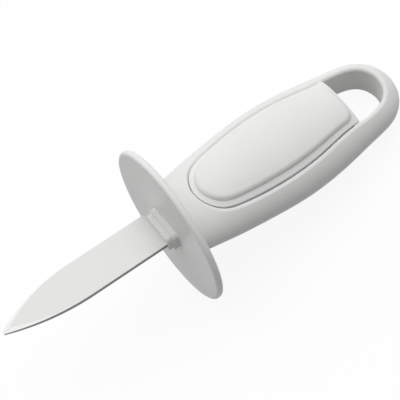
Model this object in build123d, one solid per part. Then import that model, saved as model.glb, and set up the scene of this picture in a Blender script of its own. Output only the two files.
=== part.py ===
from build123d import *
from math import asin, cos, sin
import os

# An oyster knife: a spear-shaped blade, a round hand guard and a moulded handle with a hanging loop.
# Every piece is modelled in the knife's own axis: X runs from the tip to the loop, with zero at the
# centre of the guard's front face, and Z stands out of the upper grip panel. At the end the knife is
# laid down as it rests on a table, on the guard's rim and the end of the loop.

# Guard
guard_radius = 30.0
guard_thickness = 2.6
guard_rim_round = 1.15
boss_length = 4.0
boss_width = 14.0
boss_depth = 8.8
boss_step = 0.7
boss_corner = 1.6
spigot_length = 5.0
spigot_width = 18.0
spigot_depth = 8.0
spigot_corner = 2.0

# Blade
blade_thickness = 1.8
blade_width = 14.6
blade_offset = 1.3
blade_reach = 67.6
tip_offset = 0.8
tip_round = 0.7
upper_curve_start = 36.0
lower_curve_start = 34.0
grind_width = 1.9
tang_width = 9.0
tang_thickness = 1.9
tang_end = 60.0

# Handle frame
handle_length = 95.4
handle_half_width = 19.8
handle_half_depth = 12.3
loop_end_wall = 6.2
rim_half_width = 13.9
rim_front = 12.5
rim_round = 1.2
hole_length = 16.3
bulkhead_thickness = 2.4
web_half_thickness = 3.2
web_root = 1.0
bed_height = 7.0

# Grip panels
groove_width = 2.0
groove_depth = 1.0
panel_rise = 0.9
panel_wall = 2.2
panel_round = 1.8
panel_corner = 4.0
panel_ledge = 0.7
peg_radius = 1.3
peg_depth = 2.4
peg_side = 6.6
peg_fronts = (30.0, 62.0)

# Tang pins
pin_radius = 2.0
pin_chamfer = 0.3
pin_recess = 0.4
pin_fronts = (24.0, 48.0)

# Fits
fit_clearance = 0.15
pin_clearance = 0.04
overrun = 5.0
edge_tolerance = 0.02

# Shapes, as shares of the sizes above: places along the handle and half widths there
handle_place_shares = (0.0, 0.165, 0.31, 0.477, 0.644, 0.81, 0.921, 0.979)
handle_width_shares = (0.722, 0.865, 0.950, 1.0, 0.938, 0.803, 0.656, 0.379)
handle_nose_slope_share = 0.2
rim_place_shares = (0.0, 0.016, 0.06, 0.158, 0.347, 0.549, 0.75, 0.89, 0.965)
rim_width_shares = (0.0, 0.37, 0.67, 0.863, 0.993, 0.964, 0.786, 0.689, 0.489)

# Search for the resting angle, in degrees
steepest_rest = 30.0
rest_steps = 12

# Places that follow from the sizes
nose = guard_thickness
handle_end = nose + handle_length
hole_end = handle_end - loop_end_wall
chord = hole_end - hole_length
bulkhead_front = chord - bulkhead_thickness
blade_upper = blade_offset + blade_width / 2
blade_lower = blade_offset - blade_width / 2
tip = (-blade_reach, blade_offset - tip_offset)


def block(low, high):
    """A box between two corners."""
    size = [b - a for a, b in zip(low, high)]
    return Pos(*low) * Box(*size, align=(Align.MIN, Align.MIN, Align.MIN))


def rounded_bar(front, back, width, depth, corner):
    """A bar along X with rounded long edges."""
    bar = block((front, -width / 2, -depth / 2), (back, width / 2, depth / 2))
    return fillet(bar.edges().filter_by(Axis.X), corner)


def tang_room(front, back):
    """The space that the tang needs between two places along the knife."""
    wide = tang_width / 2 + fit_clearance
    thick = tang_thickness / 2 + fit_clearance
    return block((front, -wide, -thick), (back, wide, thick))


def upright(radius, low, high, x, y):
    """A round pin or hole along Z at a place in plan."""
    return Pos(x, y, (low + high) / 2) * Cylinder(radius, high - low)


# Blade

def tangent_arc_radius(run, rise, beyond=0):
    """Radius of an arc that leaves a straight edge and passes a point run ahead and rise across.

    The arc passes that point by the distance beyond.
    """
    return (run ** 2 + rise ** 2 - beyond ** 2) / (2 * (rise + beyond))


def edge_arc(start, edge, side):
    """The arc from a straight blade edge to the tip; side is 1 for the upper edge, -1 for the lower."""
    run = blade_reach - start
    rise = side * (edge - tip[1])
    radius = tangent_arc_radius(run, rise)
    half_turn = asin(run / radius) / 2
    middle = (-start - radius * sin(half_turn), edge - side * radius * (1 - cos(half_turn)))
    return ThreePointArc((-start, edge), middle, tip)


def grinding(start, edge, side):
    """What grinding takes from one curved edge, on both faces, widening from nothing to the tip."""
    rise = side * (edge - tip[1])
    radius = tangent_arc_radius(blade_reach - start, rise, grind_width)
    half = blade_thickness / 2
    foot = radius + grind_width
    kept = Polyline((0, -half), (radius, -half), (foot, -half / 2), (foot + overrun, 0),
                    (foot, half / 2), (radius, half), (0, half), close=True)
    disc = revolve(Plane.XZ * make_face(kept), Axis.Z)
    centre = edge - side * radius
    stock = block((-blade_reach - overrun, min(tip[1], edge + side * overrun), -blade_thickness),
                  (-start, max(tip[1], edge + side * overrun), blade_thickness))
    return stock - Pos(-start, centre, 0) * disc


def make_blade():
    shoulder = -boss_length
    half_tang = tang_width / 2
    upper = edge_arc(upper_curve_start, blade_upper, 1)
    lower = edge_arc(lower_curve_start, blade_lower, -1)
    back = Polyline((-lower_curve_start, blade_lower), (shoulder, blade_lower), (shoulder, blade_upper),
                    (-upper_curve_start, blade_upper))
    outline = make_face(upper + lower + back)
    outline = fillet(outline.vertices().sort_by(Axis.X)[0], tip_round)
    blank = extrude(Pos(0, 0, -blade_thickness / 2) * outline, blade_thickness)
    blank -= grinding(upper_curve_start, blade_upper, 1)
    blank -= grinding(lower_curve_start, blade_lower, -1)
    half_thick = tang_thickness / 2
    blank += block((shoulder, -half_tang, -half_thick), (tang_end, half_tang, half_thick))
    for x in pin_fronts:
        blank -= upright(pin_radius + pin_clearance, -blade_thickness, blade_thickness, x, 0)
    return blank


# Guard

def make_guard():
    disc = Pos(guard_thickness / 2, 0, 0) * Rot(0, 90, 0) * Cylinder(guard_radius, guard_thickness)
    disc = fillet(disc.edges().filter_by(GeomType.CIRCLE), guard_rim_round)
    step = boss_length / 2
    front_boss = rounded_bar(-boss_length, 0, boss_width - boss_step, boss_depth - 2 * boss_step, boss_corner)
    rear_boss = rounded_bar(-step, guard_thickness / 2, boss_width + boss_step, boss_depth, boss_corner)
    spigot = rounded_bar(guard_thickness / 2, nose + spigot_length, spigot_width, spigot_depth, spigot_corner)
    body = disc + front_boss + rear_boss + spigot
    return body - tang_room(-boss_length - overrun, nose + spigot_length + overrun)


# Handle

def handle_body(half_depth):
    """The handle's smooth outer form: its plan outline turned round the axis, then flattened."""
    stations = [(nose + handle_length * place, handle_half_width * width)
                for place, width in zip(handle_place_shares, handle_width_shares)]
    slopes = [(1, handle_nose_slope_share), (0, -1)]
    side = Spline(*stations, (handle_end, 0), tangents=slopes, tangent_scalars=[1, 1])
    axis = Polyline((handle_end, 0), (nose, 0), stations[0])
    turned = revolve(make_face(side + axis), Axis.X)
    return scale(turned, by=(1, 1, half_depth / handle_half_width))


def oval(inset):
    """The opening in the frame, in plan: the panel's bed and the round end of the hole, drawn in evenly."""
    front = rim_front + inset
    run = hole_end - inset - front
    stations = [(front + run * place, (rim_half_width - inset) * width)
                for place, width in zip(rim_place_shares, rim_width_shares)]
    side = Spline(*stations, (front + run, 0), tangents=[(0, 1), (0, -1)], tangent_scalars=[1, 1])
    return make_face(side + mirror(side, Plane.XZ))


def between(face, front, back):
    """The part of a plan face between two places along the knife."""
    wide = 2 * handle_half_width
    window = Pos((front + back) / 2, 0) * Rectangle(back - front, wide)
    return face & window


def standing(face, low, high):
    """A plan face raised to a solid between two heights."""
    return extrude(Pos(0, 0, low) * face, high - low)


def peg_places():
    return [(x, side * peg_side) for x in peg_fronts for side in (1, -1)]


def make_handle_frame():
    reach = handle_half_depth + overrun
    body = handle_body(handle_half_depth) - standing(oval(0), -reach, reach)
    body = fillet([e for e in body.edges() if abs(e.center().Z) > web_half_thickness], rim_round)
    rooted = oval(-web_root)
    body += standing(between(rooted, nose, chord), -web_half_thickness, web_half_thickness)
    body += standing(between(rooted, bulkhead_front, chord), -bed_height, bed_height)
    body -= rounded_bar(nose - overrun, nose + spigot_length + fit_clearance, spigot_width + 2 * fit_clearance,
                        spigot_depth + 2 * fit_clearance, spigot_corner)
    body -= tang_room(nose - overrun, tang_end + fit_clearance)
    for x in pin_fronts:
        body -= upright(pin_radius + pin_clearance, -bed_height, bed_height, x, 0)
    for x, y in peg_places():
        body -= upright(peg_radius + fit_clearance, -bed_height, bed_height, x, y)
    return body


# Grip panels

def panel_skirt():
    """What stands on the web: a plate inside the rim, with the groove's floor as its top."""
    floor = bed_height + fit_clearance
    foot = between(oval(fit_clearance), nose, bulkhead_front - fit_clearance)
    plate = between(oval(fit_clearance), nose, chord)
    upper = standing(plate, floor, handle_half_depth) & handle_body(handle_half_depth - groove_depth)
    return upper + standing(foot, web_half_thickness, floor)


def panel_crown():
    """The raised part that the palm lies on, with rounded edges and rear corners."""
    floor = bed_height + fit_clearance
    top = handle_half_depth + panel_rise
    outline = between(oval(groove_width), nose, chord - panel_ledge)
    outline = fillet(outline.vertices().group_by(Axis.X)[-1], panel_corner)
    crown = standing(outline, floor, top + overrun) & handle_body(top)
    edges = [e for e in crown.edges() if min(v.Z for v in e.vertices()) > floor + edge_tolerance]
    return fillet(edges, panel_round)


def make_upper_panel():
    top = handle_half_depth + panel_rise
    full = panel_skirt() + panel_crown()
    room_back = bulkhead_front - fit_clearance - panel_wall
    room_face = between(oval(groove_width + panel_wall), nose, room_back)
    room = standing(room_face, web_half_thickness - overrun, top) & handle_body(top - panel_wall)
    panel = full - room
    for x, y in peg_places():
        panel += full & upright(peg_radius, web_half_thickness, top, x, y)
        panel += upright(peg_radius, web_half_thickness - peg_depth, web_half_thickness, x, y)
    return panel


# Pins

def make_tang_pins():
    reach = web_half_thickness - pin_recess
    pins = []
    for x in pin_fronts:
        pin = upright(pin_radius, -reach, reach, x, 0)
        pins.append(chamfer(pin.edges().filter_by(GeomType.CIRCLE), pin_chamfer))
    return Part() + pins


# The knife as it lies: the handle's end goes down until the loop's end touches with the guard's rim

def lowest(piece, tilt):
    """The height of a piece's lowest point when the knife is turned about Y."""
    return (Rot(0, tilt, 0) * piece).bounding_box().min.Z


def resting_tilt(guard, handle_frame):
    """The turn at which the guard's rim and the loop's end stand equally low, found by halving."""
    level, steep = 0, steepest_rest
    for _ in range(rest_steps):
        middle = (level + steep) / 2
        if lowest(guard, middle) < lowest(handle_frame, middle):
            level = middle
        else:
            steep = middle
    return (level + steep) / 2


def resting_place(pieces, tilt):
    """The place that puts the turned knife on the table, with its middle over the origin."""
    turn = Rot(0, tilt, 0)
    laid = Compound(children=[turn * piece for piece in pieces]).bounding_box()
    return Pos(-laid.center().X, -laid.center().Y, -laid.min.Z) * turn


upper_panel = make_upper_panel()
os.makedirs("parts", exist_ok=True)
knife = {
    "blade": make_blade(),
    "guard": make_guard(),
    "handle_frame": make_handle_frame(),
    "upper_grip_panel": upper_panel,
    "lower_grip_panel": Rot(180, 0, 0) * upper_panel,
    "tang_pins": make_tang_pins(),
}
tilt = resting_tilt(knife["guard"], knife["handle_frame"])
place = resting_place(list(knife.values()), tilt)
for name, piece in knife.items():
    export_step(place * piece, f"parts/{name}.step")
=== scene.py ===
# %% [markdown]
# # An oyster knife on a white table
# This lesson dresses the solid model of an oyster knife: a ground steel blade, a round hand guard and
# a white moulded handle with a hanging loop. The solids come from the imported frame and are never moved.

# %% Load the knife
import bpy
import bmesh
from math import atan2, degrees
from mathutils import Matrix, Vector


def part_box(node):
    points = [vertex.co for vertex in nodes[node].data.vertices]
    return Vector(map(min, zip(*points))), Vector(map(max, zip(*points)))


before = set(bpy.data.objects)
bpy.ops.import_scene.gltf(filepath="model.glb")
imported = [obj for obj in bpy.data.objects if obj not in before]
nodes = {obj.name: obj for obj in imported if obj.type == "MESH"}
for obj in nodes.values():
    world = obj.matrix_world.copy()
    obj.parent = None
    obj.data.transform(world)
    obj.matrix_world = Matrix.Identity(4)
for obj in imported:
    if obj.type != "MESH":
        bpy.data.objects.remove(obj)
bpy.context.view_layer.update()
mm = 0.001
print("pieces in the frame:", sorted(nodes))

# %% [markdown]
# ## The knife's own axis
# The knife rests on its guard's rim and the end of its loop, so its axis leans down towards the loop.
# A maker would measure along that axis, not along the table. The lean follows from the blade's flat,
# which is the largest plane of the blade, so it is read from there and no angle has to be typed in.

# %% Find the lean and the guard's centre
same_plane = 0.9999

blade_faces = nodes["blade"].data.polygons
flat = max(blade_faces, key=lambda face: face.area)
flats = [face for face in blade_faces if abs(face.normal.dot(flat.normal)) > same_plane]
upward = sum((face.normal * face.area * (1 if face.normal.z > 0 else -1) for face in flats), Vector())
upward.normalize()
lean = atan2(upward.x, upward.z)
low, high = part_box("guard")
guard_middle = (Vector(low) + Vector(high)) / 2
print("lean in degrees:", round(degrees(lean), 2))
print("guard middle:", [round(v, 4) for v in guard_middle])

# %% [markdown]
# ## Shared effects
# Moulded plastic is never perfectly even. The tool it is moulded in is spark eroded or blasted, and
# that leaves a grain much finer than a millimetre. Every moulded piece has the same grain, with its own
# depth and roughness. So the grain is made once, as a node group that puts out a height and a cloudy
# mask.

# %% A group for the moulded grain
grain_scale = 2600.0
cloud_scale = 60.0
grain_detail = 2.0
cloud_detail = 3.0


def new_group(name, inputs, outputs):
    """A shader node group with named number inputs and outputs."""
    group = bpy.data.node_groups.new(name, "ShaderNodeTree")
    for label, value in inputs:
        made = group.interface.new_socket(label, in_out="INPUT", socket_type="NodeSocketFloat")
        made.default_value = value
    for label in outputs:
        group.interface.new_socket(label, in_out="OUTPUT", socket_type="NodeSocketFloat")
    return group, group.nodes.new("NodeGroupInput"), group.nodes.new("NodeGroupOutput")


def feed(tree, value, socket):
    """Gives a socket its value, which may be a number or another socket."""
    if isinstance(value, (int, float)):
        socket.default_value = value
    else:
        tree.links.new(value, socket)


def add_noise(tree, place, scale, detail):
    """The grey output of a noise that is read at some place."""
    noise = tree.nodes.new("ShaderNodeTexNoise")
    noise.inputs["Detail"].default_value = detail
    feed(tree, scale, noise.inputs["Scale"])
    tree.links.new(place, noise.inputs["Vector"])
    return noise.outputs["Fac"]


def moulded_grain_group():
    scales = [("Grain Scale", grain_scale), ("Cloud Scale", cloud_scale)]
    group, start, end = new_group("moulded grain", scales, ["Height", "Cloud"])
    place = group.nodes.new("ShaderNodeTexCoord").outputs["Object"]
    fine = add_noise(group, place, start.outputs["Grain Scale"], grain_detail)
    broad = add_noise(group, place, start.outputs["Cloud Scale"], cloud_detail)
    group.links.new(fine, end.inputs["Height"])
    group.links.new(broad, end.inputs["Cloud"])
    return group


grain = moulded_grain_group()
print("group:", grain.name)

# %% [markdown]
# ## White moulded plastic
# The handle and guard are thick white plastic with a satin surface. A fairly high roughness and soft
# light make its edges look soft. The cloud mask moves colour and roughness by a few percent, as
# handling does, and the grain gives the surface a very fine tooth.

# %% Make the plastics
noise_low = 0.3
noise_high = 0.7
cloud_shade = 0.97
grain_strength = 0.25
white = (0.80, 0.80, 0.79)


def new_material(name):
    """A new material, its node tree and its shader."""
    material = bpy.data.materials.new(name)
    material.use_nodes = True
    return material, material.node_tree, material.node_tree.nodes["Principled BSDF"]


def add_range(tree, value, out_low, out_high, in_low, in_high):
    """A Map Range node whose limits may be numbers or sockets."""
    made = tree.nodes.new("ShaderNodeMapRange")
    tree.links.new(value, made.inputs["Value"])
    limits = {"From Min": in_low, "From Max": in_high, "To Min": out_low, "To Max": out_high}
    for label, limit in limits.items():
        feed(tree, limit, made.inputs[label])
    return made


def add_roughness(tree, shader, noise, low, high):
    """Roughness that follows a noise between two values."""
    rough = add_range(tree, noise, low, high, noise_low, noise_high)
    tree.links.new(rough.outputs["Result"], shader.inputs["Roughness"])


def add_bump(tree, shader, height, strength, depth):
    """A bump that follows a height, with its depth in metres."""
    bump = tree.nodes.new("ShaderNodeBump")
    bump.inputs["Strength"].default_value = strength
    bump.inputs["Distance"].default_value = depth
    tree.links.new(height, bump.inputs["Height"])
    tree.links.new(bump.outputs["Normal"], shader.inputs["Normal"])


def plastic(name, tone, rough_low, rough_high, grain_depth):
    """White moulded plastic: a tone, a range of roughness and a grain of some depth in metres."""
    material, tree, shader = new_material(name)
    effect = tree.nodes.new("ShaderNodeGroup")
    effect.node_tree = grain
    add_roughness(tree, shader, effect.outputs["Cloud"], rough_low, rough_high)
    colours = tree.nodes.new("ShaderNodeValToRGB")
    dull, clean = colours.color_ramp.elements
    dull.position, clean.position = noise_low, noise_high
    dull.color = (*(cloud_shade * part for part in tone), 1)
    clean.color = (*tone, 1)
    tree.links.new(effect.outputs["Cloud"], colours.inputs["Fac"])
    tree.links.new(colours.outputs["Color"], shader.inputs["Base Color"])
    add_bump(tree, shader, effect.outputs["Height"], grain_strength, grain_depth)
    return material


frame_white = plastic("white handle plastic", white,
                      rough_low=0.38, rough_high=0.48, grain_depth=0.04 * mm)
grip_white = plastic("white grip cover plastic", white,
                     rough_low=0.36, rough_high=0.46, grain_depth=0.04 * mm)
guard_white = plastic("white guard plastic", white,
                      rough_low=0.34, rough_high=0.44, grain_depth=0.03 * mm)
print("plastics:", frame_white.name, grip_white.name, guard_white.name)

# %% [markdown]
# ## Ground stainless steel
# The blade is stamped from sheet and ground on a belt. The belt leaves very fine lines that run across
# the blade, so a noise that is stretched along one direction stands for them. The lines are read in the
# knife's own axis: a Mapping node turns the pattern by the lean. They change roughness and height only.
# The ground edges get a brighter tone, which is a painted highlight. The stamped sides are sheared metal,
# and their near black tone is painted shade. A second group finds the sides by their direction: their
# normals point sideways, across the knife. The ground edges lean a little off the flat, so a comparison
# with the flat's normal finds them too.

# %% A group that finds the sides and the ground edges of the blade, for their painted shade and highlight
shade_side_border = (0.75, 0.95)
highlight_edge_border = (0.985, 0.998)


def calculate(tree, operation, first, second=0.0):
    """The result of a Math node on numbers or sockets."""
    made = tree.nodes.new("ShaderNodeMath")
    made.operation = operation
    for slot, value in enumerate((first, second)):
        feed(tree, value, made.inputs[slot])
    return made.outputs["Value"]


def share_along(tree, vector, direction):
    """How far a vector points in one direction, from -1 to 1."""
    made = tree.nodes.new("ShaderNodeVectorMath")
    made.operation = "DOT_PRODUCT"
    made.inputs[1].default_value = direction
    tree.links.new(vector, made.inputs[0])
    return made.outputs["Value"]


def edge_light_mask_group():
    limits = [("From", shade_side_border[0]), ("To", shade_side_border[1])]
    group, start, end = new_group("blade sides", limits, ["Sheared Painted Shade", "Ground Painted Highlight"])
    normal = group.nodes.new("ShaderNodeNewGeometry").outputs["Normal"]
    parts = group.nodes.new("ShaderNodeSeparateXYZ")
    group.links.new(normal, parts.inputs["Vector"])
    # The sideways mask places the painted shade on the sides; the level mask below places the painted
    # highlight on the ground edges.
    sideways = calculate(group, "ABSOLUTE", parts.outputs["Y"])
    sheared = add_range(group, sideways, 0.0, 1.0, start.outputs["From"], start.outputs["To"])
    group.links.new(sheared.outputs["Result"], end.inputs["Sheared Painted Shade"])
    level = calculate(group, "ABSOLUTE", share_along(group, normal, upward))
    ground = add_range(group, level, 1.0, 0.0, *highlight_edge_border)
    group.links.new(ground.outputs["Result"], end.inputs["Ground Painted Highlight"])
    return group


sides = edge_light_mask_group()
print("group:", sides.name)

# %% Make the steels
flat_tone = (0.78, 0.775, 0.76)
# Painted light on the blade's edges: the ground edges' brighter tone is a painted highlight, and the
# sheared sides' near black tone is painted shade.
edge_highlight_and_shade_tones = {"Ground Painted Highlight": (0.87, 0.87, 0.86), "Sheared Painted Shade": (0.17, 0.17, 0.165)}
pin_tone = (0.62, 0.62, 0.61)
line_detail = 4.0
line_strength = 0.15
line_depth = 0.01 * mm


def add_painted_edge_light(tree, tone, edges):
    """A colour that changes from one tone to a painted highlight where the group finds the ground edges,
    and to painted shade where it finds the sheared sides.
    """
    effect = tree.nodes.new("ShaderNodeGroup")
    effect.node_tree = sides
    last = None
    for mask, painted_light_tone in edges.items():
        mix = tree.nodes.new("ShaderNodeMix")
        mix.data_type = "RGBA"
        tree.links.new(effect.outputs[mask], mix.inputs["Factor"])
        below, above = [socket for socket in mix.inputs if socket.type == "RGBA"]
        above.default_value = (*painted_light_tone, 1)
        if last is None:
            below.default_value = (*tone, 1)
        else:
            tree.links.new(last, below)
        last = [socket for socket in mix.outputs if socket.type == "RGBA"][0]
    return last


def ground_steel(name, tone, along, across, rough_low, rough_high, edges=None):
    """Steel with fine grinding lines, whose pattern has one scale along the knife and one across it."""
    material, tree, shader = new_material(name)
    shader.inputs["Metallic"].default_value = 1.0
    shader.inputs["Base Color"].default_value = (*tone, 1)
    place = tree.nodes.new("ShaderNodeTexCoord")
    turn = tree.nodes.new("ShaderNodeMapping")
    turn.inputs["Rotation"].default_value = (0, -lean, 0)
    tree.links.new(place.outputs["Object"], turn.inputs["Vector"])
    stretch = tree.nodes.new("ShaderNodeMapping")
    stretch.inputs["Scale"].default_value = (along, across, across)
    tree.links.new(turn.outputs["Vector"], stretch.inputs["Vector"])
    lines = add_noise(tree, stretch.outputs["Vector"], scale=1.0, detail=line_detail)
    add_roughness(tree, shader, lines, rough_low, rough_high)
    add_bump(tree, shader, lines, line_strength, line_depth)
    # The blade's edges take painted highlight and painted shade in their colour.
    if edges:
        tree.links.new(add_painted_edge_light(tree, tone, edges), shader.inputs["Base Color"])
    return material


# The blade's colour carries a painted highlight on the ground edges and painted shade on the sheared
# sides.
blade_steel = ground_steel("ground blade steel", flat_tone, along=6000, across=250,
                           rough_low=0.28, rough_high=0.42, edges=edge_highlight_and_shade_tones)
pin_steel = ground_steel("turned pin steel", pin_tone, along=2500, across=2500,
                         rough_low=0.30, rough_high=0.45)
print("steels:", blade_steel.name, pin_steel.name)

# %% [markdown]
# ## One finish for each piece
# The blade and the pins are steel, and all the rest is moulded. The frame, the covers and the guard
# come from different tools, so each has a plastic of its own that differs a little in its gloss.

# %% Put the finishes on the solids
finishes = {
    "blade": blade_steel,
    "guard": guard_white,
    "handle_frame": frame_white,
    "upper_grip_panel": grip_white,
    "lower_grip_panel": grip_white,
    "tang_pins": pin_steel,
}
for name, finish in finishes.items():
    mesh = nodes[name].data
    mesh.materials.clear()
    mesh.materials.append(finish)
print("finished pieces:", len(finishes))

# %% [markdown]
# ## The table
# The knife lies on white paper in a pale room, so the paper shows white with only a breath of shadow.
# For the camera and for reflections most of the paper's white is its own and a small part comes from the
# light that falls on it, and that part keeps the knife's shadow. For bounced light it is plain paper.

# %% The floor
pure_white = (1, 1, 1, 1)
paper_bounce = 0.3
shadow_part = 0.1
table_half_side = 3.0


def seen_directly(tree):
    """1 for the camera's rays and for reflections, 0 for light that bounces on."""
    path = tree.nodes.new("ShaderNodeLightPath")
    return calculate(tree, "MAXIMUM", path.outputs["Is Camera Ray"], path.outputs["Is Glossy Ray"])


def mix_shaders(tree, part, first, second):
    """A mix of two shaders, whose part may be a number or a socket."""
    mix = tree.nodes.new("ShaderNodeMixShader")
    feed(tree, part, mix.inputs["Fac"])
    tree.links.new(first, mix.inputs[1])
    tree.links.new(second, mix.inputs[2])
    return mix.outputs["Shader"]


def paper():
    material, tree, shader = new_material("white paper")
    tree.nodes.remove(shader)
    glow = tree.nodes.new("ShaderNodeEmission")
    lit = tree.nodes.new("ShaderNodeBsdfDiffuse")
    lit.inputs["Color"].default_value = pure_white
    shown = mix_shaders(tree, shadow_part, glow.outputs["Emission"], lit.outputs["BSDF"])
    matt = tree.nodes.new("ShaderNodeBsdfDiffuse")
    matt.inputs["Color"].default_value = (paper_bounce, paper_bounce, paper_bounce, 1)
    surface = mix_shaders(tree, seen_directly(tree), matt.outputs["BSDF"], shown)
    tree.links.new(surface, tree.nodes["Material Output"].inputs["Surface"])
    return material


def make_floor(half_side):
    shape = bmesh.new()
    bmesh.ops.create_grid(shape, x_segments=1, y_segments=1, size=half_side)
    mesh = bpy.data.meshes.new("table")
    shape.to_mesh(mesh)
    shape.free()
    mesh.materials.append(paper())
    floor = bpy.data.objects.new("table", mesh)
    bpy.context.collection.objects.link(floor)
    return floor


floor = make_floor(table_half_side)
print("floor:", floor.name)

# %% [markdown]
# ## Light
# The picture has no hard light in it: it looks like a large white tent with one bright side. So the
# world itself is the lamp. One half of the sky is bright and the other dim, and a soft glow overhead
# adds some direction. The camera and reflections see plain white instead, as they would inside such a
# tent.

# %% The white tent
bright_side = (0.317, 0.939, 0.133)
glow_side = (0.253, 0.271, 0.929)
dim_half = 0.31
bright_half = 0.92
border = (0.15, 0.33)
glow_strength = 2.36
glow_sharpness = 10

world = bpy.data.worlds.new("white tent")
bpy.context.scene.world = world
world.use_nodes = True
tent = world.node_tree
ray = tent.nodes.new("ShaderNodeTexCoord").outputs["Generated"]
halves = add_range(tent, share_along(tent, ray, bright_side), dim_half, bright_half, *border)
halves.interpolation_type = "SMOOTHSTEP"
above = calculate(tent, "MAXIMUM", share_along(tent, ray, glow_side), 0.0)
narrowed = calculate(tent, "POWER", above, glow_sharpness)
spread = calculate(tent, "MULTIPLY", narrowed, glow_strength)
sky = tent.nodes["Background"]
sky.inputs["Color"].default_value = pure_white
tent.links.new(calculate(tent, "ADD", halves.outputs["Result"], spread), sky.inputs["Strength"])
backdrop = tent.nodes.new("ShaderNodeBackground")
backdrop.inputs["Color"].default_value = pure_white
lamp, plain = sky.outputs["Background"], backdrop.outputs["Background"]
tent_surface = mix_shaders(tent, seen_directly(tent), lamp, plain)
tent.links.new(tent_surface, tent.nodes["World Output"].inputs["Surface"])
print("world:", world.name)

# %% [markdown]
# ## The camera
# The photograph looks down at the knife from the front at about 63 degrees, and the picture is turned so
# that the knife runs from lower left to upper right. A long lens from half a metre keeps the guard
# almost free of perspective.

# %% Place the camera
camera_place = Vector((-6.974, -230.9, 490.925)) * mm
picture_right = Vector((0.7665, -0.57868, -0.2786))
picture_up = Vector((0.64212, 0.682, 0.35007))
lens_length = 135.0
sensor_width = 36.0
nearest_seen = 10 * mm

towards_camera = picture_right.cross(picture_up).normalized()
picture_up = towards_camera.cross(picture_right).normalized()
picture_right.normalize()
camera_data = bpy.data.cameras.new("camera")
camera_data.lens = lens_length
camera_data.sensor_width = sensor_width
camera_data.clip_start = nearest_seen
camera = bpy.data.objects.new("camera", camera_data)
turn = Matrix((picture_right, picture_up, towards_camera)).transposed()
camera.matrix_world = Matrix.Translation(camera_place) @ turn.to_4x4()
bpy.context.collection.objects.link(camera)
bpy.context.scene.camera = camera
bpy.context.scene.view_settings.view_transform = "Standard"
print("camera at", [round(v, 3) for v in camera_place])
